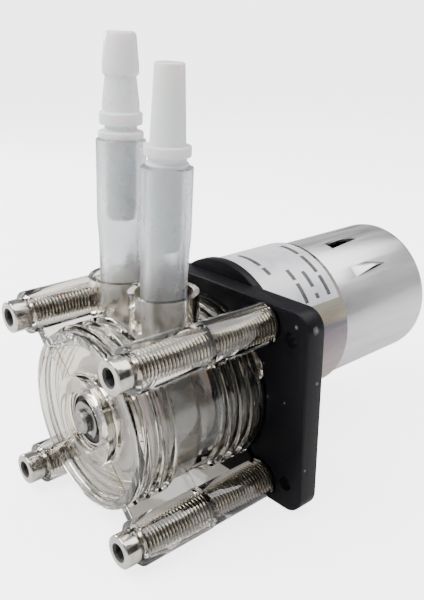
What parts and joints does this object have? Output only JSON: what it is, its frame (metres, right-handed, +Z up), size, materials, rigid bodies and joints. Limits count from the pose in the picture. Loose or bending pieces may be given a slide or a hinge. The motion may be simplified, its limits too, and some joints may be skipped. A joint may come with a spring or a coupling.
{
  "type": "peristaltic pump",
  "caption": "Tube pump with a clear ribbed head and hose fittings, on a flat mounting plate driven by a round gear motor.",
  "frame": {"origin": "bottom centre of the object's box, at the height of the mounting plate's lower edge", "axes": "+Z up along the hose sockets, +Y along the pump shaft from the clear head to the motor, +X to the right seen from the front"},
  "size_m": [0.062, 0.1058, 0.1002],
  "materials": {
    "clear_polycarbonate": "polished clear moulding with a faint warm tint",
    "nickel_steel": "bright nickel plating",
    "black_plastic": "satin black moulding",
    "silicone_tube": "milky translucent silicone",
    "white_nylon": "natural translucent nylon",
    "zinc_plated_steel": "zinc plated sheet steel with a faint yellow sheen",
    "label": "silver white film label with no text",
    "dark_steel": "oiled dark steel",
    "gear_steel": "sintered steel",
    "bronze": "oil filled sintered bronze",
    "copper": "bare and enamelled copper",
    "ferrite": "dark sintered ferrite",
    "carbon": "moulded carbon",
    "roller_plastic": "smooth grey acetal"
  },
  "bodies": {
    "pump_frame": {"front_cover": "clear_polycarbonate", "rear_housing": "clear_polycarbonate", "cover_screw_1": "nickel_steel", "cover_screw_2": "nickel_steel", "cover_screw_3": "nickel_steel", "cover_screw_4": "nickel_steel", "cover_nut_1": "nickel_steel", "cover_nut_2": "nickel_steel", "cover_nut_3": "nickel_steel", "cover_nut_4": "nickel_steel", "mounting_plate": "black_plastic", "gearbox_screw_1": "nickel_steel", "gearbox_screw_2": "nickel_steel", "gearbox_screw_3": "nickel_steel", "gearbox_screw_4": "nickel_steel", "bearing_outer_ring": "nickel_steel", "bearing_seal": "black_plastic", "pump_tube": "silicone_tube", "hose_barb": "white_nylon", "hose_spigot": "white_nylon", "gearbox_housing": "zinc_plated_steel", "output_bush": "bronze", "gearbox_end_plate": "zinc_plated_steel", "rating_label": "label", "cluster_pin": "nickel_steel", "motor_can": "zinc_plated_steel", "motor_front_bush": "bronze", "motor_end_cap": "black_plastic", "terminal_left": "nickel_steel", "terminal_right": "nickel_steel", "motor_rear_bush": "bronze", "magnet_left": "ferrite", "magnet_right": "ferrite", "brush_left": "carbon", "brush_right": "carbon", "brush_arm_left": "copper", "brush_arm_right": "copper"},
    "rotor": {"output_shaft": "dark_steel", "bearing_inner_ring": "nickel_steel", "retaining_clip": "dark_steel", "rotor_hub": "black_plastic", "rotor_set_screw": "dark_steel", "rotor_front_plate": "roller_plastic", "rotor_rear_plate": "roller_plastic", "roller_pin_1": "nickel_steel", "roller_pin_2": "nickel_steel", "roller_pin_3": "nickel_steel", "roller_pin_4": "nickel_steel", "output_gear": "gear_steel"},
    "roller_body_1": {"roller_1": "roller_plastic"},
    "roller_body_2": {"roller_2": "roller_plastic"},
    "roller_body_3": {"roller_3": "roller_plastic"},
    "roller_body_4": {"roller_4": "roller_plastic"},
    "cluster": {"cluster_gear": "gear_steel"},
    "armature": {"drive_pinion": "gear_steel", "motor_shaft": "nickel_steel", "armature_core": "gear_steel", "winding_front": "copper", "winding_rear": "copper", "commutator": "copper"}
  },
  "joints": [
    {"name": "rotor_spin", "type": "hinge", "parent": "pump_frame", "child": "rotor", "pos_m": [0, -0.0312, 0.02375], "axis": [0, 1, 0], "continuous": true, "deforming": ["pump_tube"]},
    {"name": "roller_1_spin", "type": "hinge", "parent": "rotor", "child": "roller_body_1", "pos_m": [0.0095, -0.0312, 0.02375], "axis": [0, 1, 0], "continuous": true},
    {"name": "roller_2_spin", "type": "hinge", "parent": "rotor", "child": "roller_body_2", "pos_m": [0, -0.0312, 0.03325], "axis": [0, 1, 0], "continuous": true},
    {"name": "roller_3_spin", "type": "hinge", "parent": "rotor", "child": "roller_body_3", "pos_m": [-0.0095, -0.0312, 0.02375], "axis": [0, 1, 0], "continuous": true},
    {"name": "roller_4_spin", "type": "hinge", "parent": "rotor", "child": "roller_body_4", "pos_m": [0, -0.0312, 0.01425], "axis": [0, 1, 0], "continuous": true},
    {"name": "cluster_spin", "type": "hinge", "parent": "pump_frame", "child": "cluster", "pos_m": [0.0099, 0.00145, 0.03154], "axis": [0, 1, 0], "continuous": true},
    {"name": "armature_spin", "type": "hinge", "parent": "pump_frame", "child": "armature", "pos_m": [0, 0.02645, 0.03155], "axis": [0, 1, 0], "continuous": true}
  ],
  "couplings": [
    {"joint": "roller_1_spin", "follows": "rotor_spin", "ratio": -3.2093},
    {"joint": "roller_2_spin", "follows": "rotor_spin", "ratio": -3.2093},
    {"joint": "roller_3_spin", "follows": "rotor_spin", "ratio": -3.2093},
    {"joint": "roller_4_spin", "follows": "rotor_spin", "ratio": -3.2093},
    {"joint": "cluster_spin", "follows": "rotor_spin", "ratio": -2.5},
    {"joint": "armature_spin", "follows": "rotor_spin", "ratio": 4.375}
  ]
}
